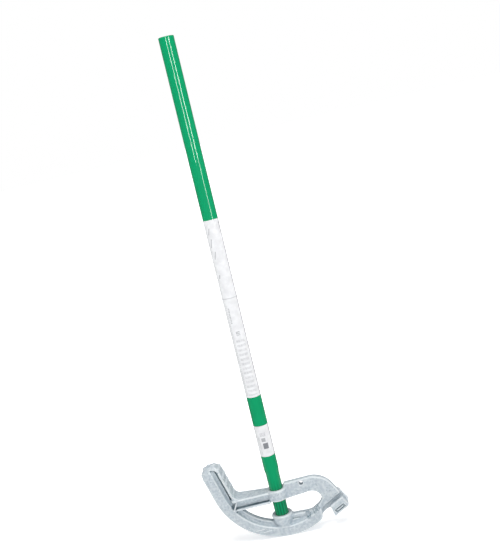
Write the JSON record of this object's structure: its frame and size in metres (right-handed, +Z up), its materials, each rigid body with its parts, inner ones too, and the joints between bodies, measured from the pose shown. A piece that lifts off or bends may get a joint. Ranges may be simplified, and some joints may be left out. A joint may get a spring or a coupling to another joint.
{
  "type": "conduit bender",
  "caption": "Hand bender for thin-walled conduit: a cast shoe with a grooved arc, hook, arm and foot pedal on a long tube handle, worked by foot and hands.",
  "frame": {"origin": "on the handle's axis, level with the lowest line of the shoe, which is the middle of the underside of the bounding box", "axes": "+Z up the handle, +X towards the hook, +Y away from the side on which the hook is open"},
  "size_m": [0.2665, 0.042, 0.965],
  "materials": {
    "head_casting": "blasted casting",
    "handle_paint": "gloss enamel on steel tube",
    "screw_steel": "black oxide",
    "label_film": "satin film"
  },
  "bodies": {
    "head": {"bender_head": "head_casting"},
    "handle": {"handle_tube": "handle_paint", "upper_label": "label_film", "lower_label": "label_film"},
    "screw": {"set_screw": "screw_steel"}
  },
  "joints": [
    {"name": "handle_pull", "type": "slide", "parent": "head", "child": "handle", "axis": [0, 0, 1], "range_m": [0, 0.1]},
    {"name": "set_screw_turn", "type": "hinge", "parent": "head", "child": "screw", "pos_m": [0, 0.017, 0.032], "axis": [0, 1, 0], "range_deg": [0, 720]}
  ]
}
